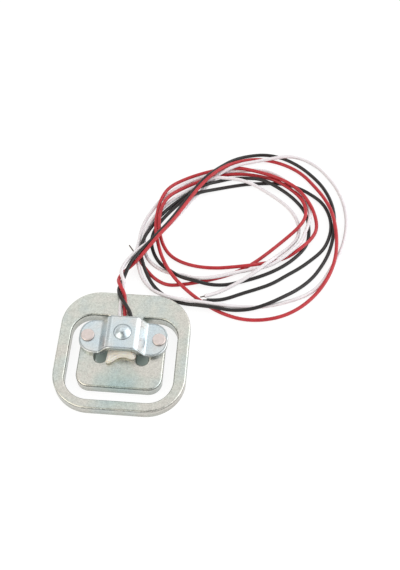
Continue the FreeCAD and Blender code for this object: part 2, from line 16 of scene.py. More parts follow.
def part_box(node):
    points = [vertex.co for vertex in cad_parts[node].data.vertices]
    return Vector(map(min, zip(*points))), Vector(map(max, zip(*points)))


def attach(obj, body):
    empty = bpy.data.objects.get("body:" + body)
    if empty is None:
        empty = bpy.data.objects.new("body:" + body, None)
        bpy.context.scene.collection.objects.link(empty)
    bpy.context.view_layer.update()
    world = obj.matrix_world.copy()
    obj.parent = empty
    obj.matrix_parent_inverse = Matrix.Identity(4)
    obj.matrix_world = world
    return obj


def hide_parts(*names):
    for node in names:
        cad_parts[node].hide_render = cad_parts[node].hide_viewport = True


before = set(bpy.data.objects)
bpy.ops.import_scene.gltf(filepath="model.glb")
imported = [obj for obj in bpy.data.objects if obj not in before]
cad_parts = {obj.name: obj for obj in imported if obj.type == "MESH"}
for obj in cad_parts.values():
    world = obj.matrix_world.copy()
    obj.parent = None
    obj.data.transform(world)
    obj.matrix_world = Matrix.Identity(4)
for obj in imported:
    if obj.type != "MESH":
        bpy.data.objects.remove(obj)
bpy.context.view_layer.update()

Rgb = Tuple[float, float, float]
Point = Tuple[float, float, float]
Span = Tuple[float, float]
Socket = bpy.types.NodeSocket

LOG = logging.getLogger("load_cell")
MM = 0.001
BODY = "root"
LOAD_LINE = sum(corner[1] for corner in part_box("load_bridge")) / 2 / MM

# Most values of the noise lie in these spans.
CLOUDS: Span = (0.3, 0.7)
GRAIN: Span = (0.25, 0.75)
# A finish of two tones starts to turn into its second one here.
SECOND_TONE_FROM = 0.35


class Slot(Enum):
    """Names of the record's material slots, which the wires carry; nothing reads them."""

    SILICONE = "silicone"
    COPPER = "bare_copper"
    RED = "red_insulation"
    BLACK = "black_insulation"
    WHITE = "white_insulation"


class Nodes:
    """The nodes of a material or of the room, of the few kinds that this scene is made of."""

    def __init__(self, tree: bpy.types.NodeTree, place: str = "Object") -> None:
        """Starts on a tree.

        Args:
            tree: The tree that the nodes are added to.
            place: The texture coordinate that places are read from.
        """
        self.tree = tree
        self.place = self.add("ShaderNodeTexCoord").outputs[place]

    def add(self, kind: str, **settings: object) -> bpy.types.Node:
        """Adds a node.

        Args:
            kind: Blender's name of the node type.
            settings: The node's own properties.

        Returns:
            The new node.
        """
        node = self.tree.nodes.new(kind)
        for name, value in settings.items():
            setattr(node, name, value)
        return node

    def join(self, source: Socket, target: Socket) -> None:
        """Links two sockets."""
        self.tree.links.new(source, target)

    def spread(self, source: Socket, old: Span, new: Span, kind: str = "LINEAR") -> Socket:
        """Maps a value from one span to another, kept inside the new one.

        Args:
            source: The value.
            old: The span that it is read in.
            new: The span that it is put in.
            kind: How it runs from end to end, straight or as a smooth step.

        Returns:
            The new value.
        """
        node = self.add("ShaderNodeMapRange", interpolation_type=kind)
        for name, value in zip(("From Min", "From Max", "To Min", "To Max"), old + new):
            node.inputs[name].default_value = value
        self.join(source, node.inputs["Value"])
        return node.outputs["Result"]

    def ramp(self, source: Socket, stops: Sequence[Tuple[float, Rgb]]) -> Socket:
        """Turns a value into colours.

        Args:
            source: The value.
            stops: Places on the ramp from 0 to 1 and their colours.

        Returns:
            The colour.
        """
        node = self.add("ShaderNodeValToRGB")
        elements = node.color_ramp.elements
        while len(elements) < len(stops):
            elements.new(1.0)
        for element, (place, colour) in zip(elements, stops):
            element.position = place
            element.color = (*colour, 1.0)
        self.join(source, node.inputs["Fac"])
        return node.outputs["Color"]

    def level(self, source: Socket, stops: Sequence[Tuple[float, Union[float, Rgb]]]) -> Socket:
        """Shades by a distance or height in metres.

        Args:
            source: The distance or height.
            stops: Rising distances in millimetres and their shades, grey or tinted.

        Returns:
            The shade.
        """
        low, high = stops[0][0], stops[-1][0]
        share = self.spread(source, (low * MM, high * MM), (0.0, 1.0))
        tints = [tone if isinstance(tone, tuple) else (tone,) * 3 for _, tone in stops]
        places = [(place - low) / (high - low) for place, _ in stops]
        return self.ramp(share, list(zip(places, tints)))

    def height(self) -> Socket:
        """Gives the height of a place.

        Returns:
            The height above the floor in metres, or in the room a direction's rise.
        """
        node = self.add("ShaderNodeSeparateXYZ")
        self.join(self.place, node.inputs[0])
        return node.outputs["Z"]

    def away_from(self, middle: Point) -> Socket:
        """Gives the distance from a point.

        Args:
            middle: The point in millimetres.

        Returns:
            The distance in metres.
        """
        node = self.add("ShaderNodeVectorMath", operation="DISTANCE")
        node.inputs[1].default_value = Vector(middle) * MM
        self.join(self.place, node.inputs[0])
        return node.outputs["Value"]

    def math(self, operation: str, first: Socket, second: Socket) -> Socket:
        """Puts two values together.

        Args:
            operation: How, such as ADD or MULTIPLY.
            first: One value.
            second: The other value.

        Returns:
            The result.
        """
        node = self.add("ShaderNodeMath", operation=operation)
        self.join(first, node.inputs[0])
        self.join(second, node.inputs[1])
        return node.outputs[0]

    def blend(self, operation: str, colour: Socket, other: Socket) -> Socket:
        """Puts a colour together with another colour or a value.

        Args:
            operation: How, such as ADD or MULTIPLY.
            colour: The colour.
            other: The other colour or the value.

        Returns:
            The new colour.
        """
        node = self.add("ShaderNodeVectorMath", operation=operation)
        self.join(colour, node.inputs[0])
        self.join(other, node.inputs[1])
        return node.outputs["Vector"]

    def looking_rays(self, mirrored_share: Optional[Socket] = None) -> Socket:
        """Marks the rays that look at the background and don't light the part.

        Args:
            mirrored_share: How far the rays from glossy and clear surfaces count, in full if not given.

        Returns:
            1 for the camera's rays, the share for mirrored ones and 0 for all others.
        """
        path = self.add("ShaderNodeLightPath")
        mirrored = self.math("MAXIMUM", path.outputs["Is Glossy Ray"], path.outputs["Is Transmission Ray"])
        if mirrored_share is not None:
            mirrored = self.math("MULTIPLY", mirrored, mirrored_share)
        return self.math("MAXIMUM", path.outputs["Is Camera Ray"], mirrored)


class Shader(Nodes):
    """A material with one Principled surface, built up from textures on Object coordinates."""

    def __init__(self, name: str) -> None:
        """Starts a material.

        Args:
            name: The material's name.
        """
        self.material = bpy.data.materials.new(name)
        self.material.use_nodes = True
        super().__init__(self.material.node_tree)
        self.surface = self.tree.nodes["Principled BSDF"]

    def fix(self, **values: object) -> None:
        """Sets uniform values on the surface's own sockets, with _ for a space in their names."""
        for name, value in values.items():
            self.surface.inputs[name.replace("_", " ")].default_value = value

    def drive(self, source: Socket, name: str) -> None:
        """Links a texture to one of the surface's sockets."""
        self.join(source, self.surface.inputs[name])

    def gloss(self, source: Socket, roughness: Span) -> None:
        """Makes the surface unevenly glossy, between two roughnesses."""
        self.drive(self.spread(source, CLOUDS, roughness), "Roughness")

    def mottle(self, source: Socket, first: Rgb, second: Rgb, full: float) -> Socket:
        """Gives two tones that run into each other, the second one in full from a value on."""
        return self.ramp(source, [(SECOND_TONE_FROM, first), (full, second)])

    def noise(self, size: float, detail: float = 3.0, shift: Point = (0.0, 0.0, 0.0)) -> Socket:
        """Adds soft noise.

        Args:
            size: The size of its patches in metres.
            detail: How many finer layers it has.
            shift: How far the pattern is moved, in millimetres.

        Returns:
            The noise as a value about a half.
        """
        mapping = self.add("ShaderNodeMapping")
        mapping.inputs["Location"].default_value = Vector(shift) * MM
        self.join(self.place, mapping.inputs["Vector"])
        texture = self.add("ShaderNodeTexNoise")
        texture.inputs["Scale"].default_value = 1.0 / size
        texture.inputs["Detail"].default_value = detail
        self.join(mapping.outputs["Vector"], texture.inputs["Vector"])
        return texture.outputs["Fac"]

    def beyond(self, middle: Point, core: Point) -> Socket:
        """Gives the distance from an upright box, seen from above.

        Args:
            middle: The box's middle in millimetres.
            core: Half of its length and depth in millimetres.

        Returns:
            The distance in metres, 0 inside the box.
        """
        value = self.place
        steps = (
            ("SUBTRACT", Vector(middle) * MM),
            ("ABSOLUTE", None),
            ("SUBTRACT", Vector(core) * MM),
            ("MAXIMUM", Vector((0, 0, 0))),
            ("MULTIPLY", Vector((1, 1, 0))),
        )
        for operation, other in steps:
            node = self.add("ShaderNodeVectorMath", operation=operation)
            self.join(value, node.inputs[0])
            if other is not None:
                node.inputs[1].default_value = other
            value = node.outputs["Vector"]
        length = self.add("ShaderNodeVectorMath", operation="LENGTH")
        self.join(value, length.inputs[0])
        return length.outputs["Value"]

    def bump(self, height: Socket, depth: float) -> None:
        """Roughens the surface.

        Args:
            height: The height as a value from 0 to 1.
            depth: How deep that is in metres.
        """
        node = self.add("ShaderNodeBump")
        node.inputs["Strength"].default_value = 1.0
        node.inputs["Distance"].default_value = depth
        self.join(height, node.inputs["Height"])
        self.drive(node.outputs["Normal"], "Normal")


@dataclass(frozen=True)
class ZincFinish:
    """Bright zinc plate on stamped steel: faintly iridescent patches, fine grain and satin gloss."""

    name: str
    cool: Rgb
    plain: Rgb
    warm: Rgb
    tints_at: Tuple[float, float, float] = (0.36, 0.5, 0.64)
    patch: float = 7.0 * MM
    patch_shift: Point = (0.0, 0.0, 0.0)
    grain: float = 0.4 * MM
    grain_depth: float = 0.003 * MM
    speckle: Span = (0.80, 1.18)
    gloss_patch: float = 1.1 * MM
    roughness: Span = (0.24, 0.38)
    edge_wave: float = 0.5 * MM
    edge_wander: float = 0.22 * MM

    def material(self) -> bpy.types.Material:
        """Builds the plating.

        Returns:
            The material.
        """
        shader = Shader(self.name)
        patches = shader.noise(self.patch, shift=self.patch_shift)
        tint = shader.ramp(patches, list(zip(self.tints_at, (self.cool, self.plain, self.warm))))
        grain = shader.noise(self.grain)
        colour = shader.blend("MULTIPLY", tint, shader.spread(grain, GRAIN, self.speckle))
        stray = self.edge_wander / 2
        wander = shader.spread(shader.noise(self.edge_wave), CLOUDS, (-stray, stray))
        # Multiplies in the subclasses' tones: painted shade, and on the plate also the cut faces' own
        # duller tone.
        for mark in self.shades_and_marks(shader, wander):
            colour = shader.blend("MULTIPLY", colour, mark)
        shader.drive(colour, "Base Color")
        shader.gloss(shader.noise(self.gloss_patch, detail=4.0), self.roughness)
        shader.fix(Metallic=1.0)
        shader.bump(grain, self.grain_depth)
        return shader.material

    def shades_and_marks(self, shader: Shader, wander: Socket) -> List[Socket]:
        """Gives the tones that darken the plating, painted shade among them, none on plain sheet."""
        return []


@dataclass(frozen=True)
class PlateFinish(ZincFinish):
    """The spring plate's plating, with partly painted shade on its cut faces, a painted line under its rim
    and a painted shade spot.
    """

    # Painted shade by height on the side faces: darker towards the bottom, partly the fractured steel's
    # own duller tone and partly painted shade, with a painted dark reflection line just under the rolled
    # rim.
    cut_face_and_painted_line: Sequence[Tuple[float, float]] = (
        (0.0, 0.62), (1.3, 0.70), (2.3, 0.84), (2.66, 0.30), (2.88, 1.0), (3.0, 1.0),
    )
    # Painted shade: a cyan-grey darkening of the island's front middle that stands in for the bridge's
    # blurred reflection.
    painted_shade_middle: Point = (0.0, -11.0, 3.0)
    painted_shade_reach: Sequence[Tuple[float, Rgb]] = ((2.0, (0.77, 0.88, 0.89)), (7.5, (1.0, 1.0, 1.0)))

    def shades_and_marks(self, shader: Shader, wander: Socket) -> List[Socket]:
        """Gives the painted dark line under the rolled rim, the partly painted shade of the cut face and
        the painted shade spot.

        Args:
            shader: The material that is being built.
            wander: How far the painted dark line strays, in metres.

        Returns:
            The shades.
        """
        height = shader.math("ADD", shader.height(), wander)
        # dull is that painted shade spot, not a duller plating.
        dull = shader.level(shader.away_from(self.painted_shade_middle), self.painted_shade_reach)
        return [shader.level(height, self.cut_face_and_painted_line), dull]


@dataclass(frozen=True)
class BridgeFinish(ZincFinish):
    """The load bridge's plating, with painted shade along its rim and a painted dark ring round the foot
    of its dome.
    """

    middle: Point = (0.0, LOAD_LINE, 7.2)
    core: Point = (7.3, 0.65, 0.0)
    # Painted shade by distance beyond the bridge's outline: a painted dark reflection line on the rolled
    # top edge, and the cut face below it darkened as shade.
    rim: Sequence[Tuple[float, float]] = ((3.6, 1.0), (3.85, 0.5), (4.05, 0.95), (4.2, 0.70))
    # Painted shade: a dark ring round the foot of the dome, as its edge shows in shade.
    painted_dome_ring: Sequence[Tuple[float, float]] = ((2.05, 1.0), (2.2, 0.5), (2.3, 0.5), (2.42, 1.0))

    def shades_and_marks(self, shader: Shader, wander: Socket) -> List[Socket]:
        """Paints shade along the rim and a dark ring round the foot of the dome.

        Args:
            shader: The material that is being built.
            wander: How far the painted line along the rim strays, in metres.

        Returns:
            The shades.
        """
        rim = shader.math("ADD", shader.beyond(self.middle, self.core), wander)
        dome_ring_shade = shader.level(shader.away_from(self.middle), self.painted_dome_ring)
        return [shader.level(rim, self.rim), dome_ring_shade]


@dataclass(frozen=True)
class RivetFinish:
    """Rivet steel with a thin pinkish plating, with painted shade down the side of its heads."""

    name: str = "rivet_steel_pink"
    colour: Rgb = (0.82, 0.71, 0.68)
    dull: Rgb = (0.76, 0.66, 0.62)
    colour_full: float = 0.62
    patch: float = 0.9 * MM
    grain: float = 0.16 * MM
    grain_depth: float = 0.004 * MM
    speckle: Span = (0.93, 1.06)
    roughness: Span = (0.34, 0.46)
    metallic: float = 0.85
    # Painted shade by height: the heads' sides darkened as contact shadow and dark reflection, and the
    # shank below them too.
    head_side_shade: Sequence[Tuple[float, float]] = (
        (0.0, 0.8), (4.15, 0.35), (4.45, 0.5), (4.56, 1.0), (4.7, 1.0),
    )

    def material(self) -> bpy.types.Material:
        """Builds the rivets' plating.

        Returns:
            The material.
        """
        shader = Shader(self.name)
        clouds = shader.noise(self.patch)
        grain = shader.noise(self.grain, detail=2.0)
        colour = shader.mottle(clouds, self.dull, self.colour, self.colour_full)
        speckle = shader.spread(grain, GRAIN, self.speckle)
        # tone holds the grain's speckle and the painted shade on the heads' sides.
        tone = shader.math("MULTIPLY", speckle, shader.level(shader.height(), self.head_side_shade))
        shader.drive(shader.blend("MULTIPLY", colour, tone), "Base Color")
        shader.gloss(clouds, self.roughness)
        shader.fix(Metallic=self.metallic)
        shader.bump(grain, self.grain_depth)
        return shader.material


@dataclass(frozen=True)
class InsulationFinish:
    """Soft PVC wire insulation with a satin skin and a faintly uneven surface."""

    name: str
    colour: Rgb
    worn: Rgb
    worn_full: float = 0.7
    patch: float = 3.5 * MM
    skin: float = 0.25 * MM
    skin_depth: float = 0.006 * MM
    roughness: Span = (0.33, 0.45)

    def material(self) -> bpy.types.Material:
        """Builds the insulation.

        Returns:
            The material.
        """
        shader = Shader(self.name)
        clouds = shader.noise(self.patch)
        shader.drive(shader.mottle(clouds, self.colour, self.worn, self.worn_full), "Base Color")
        skin = shader.noise(self.skin, detail=2.0)
        shader.gloss(skin, self.roughness)
        shader.bump(skin, self.skin_depth)
        return shader.material


@dataclass(frozen=True)
class SiliconeFinish:
    """Cream silicone, run on by hand: soft, slightly see-through, with a dull gloss."""

    name: str = "silicone_cream"
    colour: Rgb = (0.99, 0.91, 0.79)
    shade: Rgb = (0.97, 0.86, 0.72)
    colour_full: float = 0.6
    patch: float = 1.6 * MM
    ripple: float = 0.7 * MM
    ripple_depth: float = 0.03 * MM
    roughness: Span = (0.38, 0.55)
    glow: float = 0.25
    glow_reach: Rgb = (1.0, 0.7, 0.4)
    glow_depth: float = 0.6 * MM

    def material(self) -> bpy.types.Material:
        """Builds the silicone.

        Returns:
            The material.
        """
        shader = Shader(self.name)
        clouds = shader.noise(self.patch)
        shader.drive(shader.mottle(clouds, self.shade, self.colour, self.colour_full), "Base Color")
        shader.gloss(clouds, self.roughness)
        shader.fix(Subsurface_Weight=self.glow, Subsurface_Radius=self.glow_reach)
        shader.fix(Subsurface_Scale=self.glow_depth)
        shader.bump(shader.noise(self.ripple, detail=2.0), self.ripple_depth)
        return shader.material


@dataclass(frozen=True)
class MetalFinish:
    """A small bare metal piece with uneven tarnish, such as copper strands, solder or foil."""

    name: str
    bright: Rgb
    dull: Rgb
    bright_full: float = 0.62
    patch: float = 0.4 * MM
    depth: float = 0.005 * MM
    roughness: Span = (0.25, 0.5)

    def material(self) -> bpy.types.Material:
        """Builds the metal.

        Returns:
            The material.
        """
        shader = Shader(self.name)
        clouds = shader.noise(self.patch)
        shader.drive(shader.mottle(clouds, self.dull, self.bright, self.bright_full), "Base Color")
        shader.gloss(clouds, self.roughness)
        shader.fix(Metallic=1.0)
        shader.bump(clouds, self.depth)
        return shader.material


@dataclass(frozen=True)
class FilmFinish:
    """Amber film of the strain gauge."""

    name: str = "gauge_film_amber"
    colour: Rgb = (0.50, 0.26, 0.06)
    dark: Rgb = (0.36, 0.17, 0.04)
    colour_full: float = 0.65
    patch: float = 1.2 * MM
    roughness: Span = (0.2, 0.32)

    def material(self) -> bpy.types.Material:
        """Builds the film.

        Returns:
            The material.
        """
        shader = Shader(self.name)
        clouds = shader.noise(self.patch, detail=2.0)
        shader.drive(shader.mottle(clouds, self.dark, self.colour, self.colour_full), "Base Color")
        shader.gloss(clouds, self.roughness)
        return shader.material


def object_of(name: str, data: bpy.types.ID) -> bpy.types.Object:
    """Makes an object at the origin.

    Args:
        name: Its name.
        data: Its mesh, curve, lamp or camera.

    Returns:
        The object, in the scene.
    """
    thing = bpy.data.objects.new(name, data)
    bpy.context.scene.collection.objects.link(thing)
    return thing


def piece_from(name: str, mesh: bmesh.types.BMesh) -> bpy.types.Object:
    """Makes a smooth piece of a finished bmesh.

    Args:
        name: The piece's name.
        mesh: Its shape, which is freed.

    Returns:
        The piece.
    """
    data = bpy.data.meshes.new(name)
    for face in mesh.faces:
        face.smooth = True
    mesh.to_mesh(data)
    mesh.free()
    return object_of(name, data)


def dress(piece: bpy.types.Object, material: bpy.types.Material) -> None:
    """Gives a piece one material all over.

    Args:
        piece: A mesh or curve object.
        material: Its material.
    """
    slots = piece.data.materials
    if len(slots) == 0:
        slots.append(material)
    for number in range(len(slots)):
        slots[number] = material


@dataclass
class SteelBody:
    """The stamped and riveted steel: spring plate, load bridge and rivets, as the model has them."""

    plate: PlateFinish = PlateFinish(
        "zinc_plate", (0.63, 0.67, 0.64), (0.68, 0.69, 0.63), (0.72, 0.69, 0.63),
        patch_shift=(-6.0, 11.0, 0.0),
    )
    bridge: BridgeFinish = BridgeFinish(
        "zinc_bridge", (0.68, 0.76, 0.80), (0.73, 0.78, 0.79), (0.77, 0.77, 0.76),
        patch=5.0 * MM, speckle=(0.88, 1.12), edge_wander=0.1 * MM,
    )
    rivet: RivetFinish = RivetFinish()

    def dress(self) -> List[str]:
        """Gives the steel pieces their finishes.

        Returns:
            Their names.
        """
        finishes = {"spring_plate": self.plate, "load_bridge": self.bridge, "rivets": self.rivet}
        for node, finish in finishes.items():
            dress(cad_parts[node], finish.material())
        return list(finishes)


@dataclass
class Gauge:
    """The strain gauge under the silicone, with its solder joints and the wires' inner ends."""

    film: FilmFinish = FilmFinish()
    foil: MetalFinish = MetalFinish("gauge_foil_grey", (0.60, 0.55, 0.48), (0.48, 0.42, 0.36))
    solder: MetalFinish = MetalFinish("solder_bright", (0.72, 0.72, 0.72), (0.55, 0.55, 0.56))
    copper: MetalFinish = MetalFinish("inner_copper", (0.72, 0.45, 0.30), (0.52, 0.30, 0.20))

    def dress(self) -> List[str]:
        """Gives the gauge's pieces their finishes.

        Returns:
            Their names.
        """
        materials = {"gauge_carrier": self.film.material(), "gauge_foil": self.foil.material()}
        solder, copper = self.solder.material(), self.copper.material()
        for colour in ("red", "black", "white"):
            materials[colour + "_solder"] = solder
            materials[colour + "_core"] = copper
        for node, material in materials.items():
            dress(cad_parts[node], material)
        return list(materials)


@dataclass
class SiliconeCoat:
    """The silicone run over the gauge: a soft ribbon that ends in a lobe at the front left."""

    outline: Sequence[Tuple[float, float]] = (
        (0.0, 6.75), (-2.6, 6.6), (-3.5, 4.8), (-3.6, 1.0), (-3.55, -2.0), (-3.8, -3.6), (-3.75, -4.55),
        (-2.7, -4.6), (-1.6, -3.6), (-0.5, -2.65), (1.1, -2.45), (2.5, -3.0), (3.5, -3.0), (3.95, -2.0),
        (3.6, 1.0), (3.5, 4.8), (2.6, 6.6),
    )
    foot: float = 3.0
    lip: float = 0.45
    undercut: float = 0.4
    rings: Sequence[Tuple[float, float]] = ((0.0, 0.25), (0.2, 0.45), (0.4, 0.4), (0.6, 0.25), (0.7, 0.1))
    smooth: int = 2
    finish: SiliconeFinish = SiliconeFinish()

    def build(self) -> List[str]:
        """Runs the coat up in rings from its widest outline, and down to the plate, and smooths it.

        Returns:
            The new piece's name.
        """
        mesh = bmesh.new()
        widest = (self.foot + self.lip) * MM
        base = top = mesh.faces.new([mesh.verts.new((x * MM, y * MM, widest)) for x, y in self.outline])
        for inset, rise in self.rings:
            top = self.grow(mesh, top, rise, inset)
        self.grow(mesh, base, -self.lip, self.undercut)
        bmesh.ops.recalc_face_normals(mesh, faces=mesh.faces)
        piece = piece_from("silicone_ribbon", mesh)
        smoother = piece.modifiers.new("smooth", "SUBSURF")
        smoother.levels = smoother.render_levels = self.smooth
        dress(piece, self.finish.material())
        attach(piece, BODY)
        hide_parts("silicone_coat")
        return [piece.name]

    def grow(self, mesh: bmesh.types.BMesh, face: bmesh.types.BMFace, rise: float,
             inset: float) -> bmesh.types.BMFace:
        """Extrudes a face up or down and draws its corners in.

        Args:
            mesh: The coat's shape.
            face: The face that is extruded.
            rise: How far up, in millimetres.
            inset: How far in, in millimetres.

        Returns:
            The face at the end.
        """
        grown = bmesh.ops.extrude_face_region(mesh, geom=[face])["geom"]
        ring = next(item for item in grown if isinstance(item, bmesh.types.BMFace))
        bmesh.ops.translate(mesh, vec=(0, 0, rise * MM), verts=ring.verts)
        inward = {loop.vert: loop.calc_tangent() for loop in ring.loops}
        for corner, way in inward.items():
            corner.co += way * inset * MM
        return ring


@dataclass
class Wire:
    """One free insulated wire, laid along its route, with a stripped end of twisted strands."""

    colour: str
    slot: Slot
    finish: InsulationFinish
    route: Sequence[Point]
    length: float
    bare: float
    diameter: float = 1.0
    round_steps: int = 5
    curve_steps: int = 8
    strand: float = 0.12
    strand_sides: int = 8
    strand_steps: int = 24
    outer_strands: int = 6
    twist: float = 200.0
    copper: MetalFinish = MetalFinish("tinned_strands", (0.26, 0.20, 0.16), (0.11, 0.08, 0.06))

    def build(self) -> List[str]:
        """Lays the wire and its stripped end in place of the model's tube and tip.

        Returns:
            The names of the new pieces.
        """
        wire = self.lay_insulation()
        tip = self.twist_strands()
        for piece, node, slot in ((wire, "_wire", self.slot), (tip, "_wire_tip", Slot.COPPER)):
            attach(piece, BODY)
            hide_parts(self.colour + node)
        return [wire.name, tip.name]

    def lay_insulation(self) -> bpy.types.Object:
        """Makes the insulation as one smooth curve along its route, round in section.

        Returns:
            The wire.
        """
        curve = bpy.data.curves.new(self.colour + "_insulation", "CURVE")
        curve.dimensions = "3D"
        curve.bevel_depth = self.diameter / 2 * MM
        curve.bevel_resolution = self.round_steps
        curve.resolution_u = self.curve_steps
        curve.use_fill_caps = True
        spline = curve.splines.new("NURBS")
        spline.points.add(len(self.route) - 1)
        for point, place in zip(spline.points, self.route):
            point.co = (*(value * MM for value in place), 1.0)
        spline.order_u = 3
        spline.use_endpoint_u = True
        wire = object_of(self.colour + "_insulation", curve)
        dress(wire, self.finish.material())
        return wire

    def twist_strands(self) -> bpy.types.Object:
        """Makes the stripped end: strands twisted round a middle one, straight on from the insulation.

        Returns:
            The stripped end.
        """
        mesh = bmesh.new()
        self.add_strand(mesh, 0.0, 0.0, 0.0)
        for number in range(self.outer_strands):
            start = number * math.tau / self.outer_strands
            self.add_strand(mesh, self.strand, start, math.radians(self.twist))
        bmesh.ops.recalc_face_normals(mesh, faces=mesh.faces)
        before, end = (Vector(place) * MM for place in self.route[-2:])
        turn = (end - before).to_track_quat("Z", "Y").to_matrix().to_4x4()
        bmesh.ops.transform(mesh, matrix=Matrix.Translation(end) @ turn, verts=mesh.verts)
        tip = piece_from(self.colour + "_strands", mesh)
        dress(tip, self.copper.material())
        return tip

    def add_strand(self, mesh: bmesh.types.BMesh, out: float, start: float, turn: float) -> None:
        """Adds one strand, a small disc swept up the axis.

        Args:
            mesh: What it is added to.
            out: Its distance from the axis in millimetres.
            start: Its angle round the axis at the bottom.
            turn: How far it winds round the axis in all.
        """
        place = Matrix.Rotation(start, 4, "Z") @ Matrix.Translation((out * MM, 0, 0))
        disc = bmesh.ops.create_circle(
            mesh, segments=self.strand_sides, radius=self.strand / 2 * MM, cap_ends=True, matrix=place,
        )
        faces = list({face for vert in disc["verts"] for face in vert.link_faces})
        rise = self.bare * MM / self.strand_steps
        bmesh.ops.spin(
            mesh, geom=faces, cent=(0, 0, 0), axis=(0, 0, 1), dvec=(0, 0, rise),
            angle=turn, steps=self.strand_steps, use_duplicate=False,
        )


RED_ROUTE: List[Point] = [
    (0.0, 6.0, 3.6), (-0.4, 8.8, 3.55), (-0.7, 11.2, 3.55), (-0.85, 13.6, 3.6), (-1.3, 16.0, 4.5),
    (-2.75, 18.3, 4.75), (-3.75, 20.9, 3.1), (-3.3, 23.4, 2.0), (-1.9, 25.4, 1.8), (0.45, 27.55, 2.75),
    (3.08, 31.48, 3.6), (5.85, 35.75, 4.3), (9.15, 41.0, 4.0), (11.98, 47.0, 3.42), (14.9, 53.0, 3.3),
    (18.3, 57.9, 3.75), (22.2, 62.6, 2.95), (26.4, 65.9, 1.65), (31.2, 68.0, 0.8), (36.6, 67.8, 0.5),
    (41.7, 66.0, 0.5), (45.8, 63.2, 0.5), (49.05, 59.2, 0.55), (51.85, 54.6, 1.3), (53.95, 49.4, 2.1),
    (55.0, 44.0, 2.2), (55.4, 38.6, 1.9), (54.95, 33.0, 1.65), (53.2, 27.4, 1.4), (50.2, 22.4, 0.6),
    (46.2, 17.9, 0.5), (41.4, 14.6, 0.5), (36.0, 12.9, 0.5), (30.6, 12.6, 0.5), (25.4, 13.9, 0.5),
    (20.8, 16.2, 0.5), (15.6, 19.8, 0.8), (12.0, 22.6, 2.0), (9.5, 25.4, 2.85), (8.0, 28.2, 2.4),
    (6.5, 32.0, 1.3), (5.2, 36.2, 1.5), (4.3, 40.6, 1.6), (4.3, 45.2, 1.65), (4.85, 50.0, 1.7),
    (6.6, 54.8, 1.4), (10.6, 58.7, 0.5), (15.4, 61.3, 0.5), (20.6, 63.3, 0.55), (25.8, 63.8, 1.5),
    (30.6, 62.7, 1.95), (35.5, 61.2, 2.2), (40.2, 59.0, 2.65), (44.4, 56.2, 2.5), (47.6, 52.3, 1.65),
    (49.3, 48.1, 1.3), (50.0, 43.8, 0.8), (48.4, 39.6, 1.5), (45.6, 36.4, 1.65), (42.2, 33.6, 0.7),
    (38.2, 31.9, 0.5), (34.6, 30.4, 1.2), (31.2, 29.25, 1.75), (27.4, 28.9, 1.1), (22.4, 28.45, 0.5),
    (17.2, 28.5, 0.5), (12.6, 29.6, 0.5), (9.0, 31.8, 0.5), (6.8, 35.0, 1.0), (5.6, 38.8, 1.6),
    (5.1, 43.0, 2.4), (5.5, 47.4, 2.3), (7.0, 51.6, 1.65), (10.6, 55.4, 0.5), (15.2, 58.4, 0.5),
    (20.2, 60.8, 0.5), (24.9, 61.95, 0.5), (29.8, 62.2, 0.5), (34.2, 61.4, 0.7), (38.0, 59.5, 1.75),
    (42.3, 57.0, 1.2), (45.2, 53.9, 1.4), (46.6, 50.4, 1.65), (46.6, 46.8, 1.65), (44.7, 43.1, 1.75),
    (40.8, 39.3, 0.6), (36.1, 34.3, 0.5), (32.6, 30.9, 0.5), (28.6, 27.9, 0.5), (24.0, 25.6, 0.5),
    (18.8, 23.8, 0.5), (13.6, 22.4, 0.5), (9.4, 21.8, 0.5), (5.8, 23.6, 0.5), (3.2, 26.4, 0.5),
    (1.4, 29.0, 0.5), (-0.5, 31.6, 0.5),
]
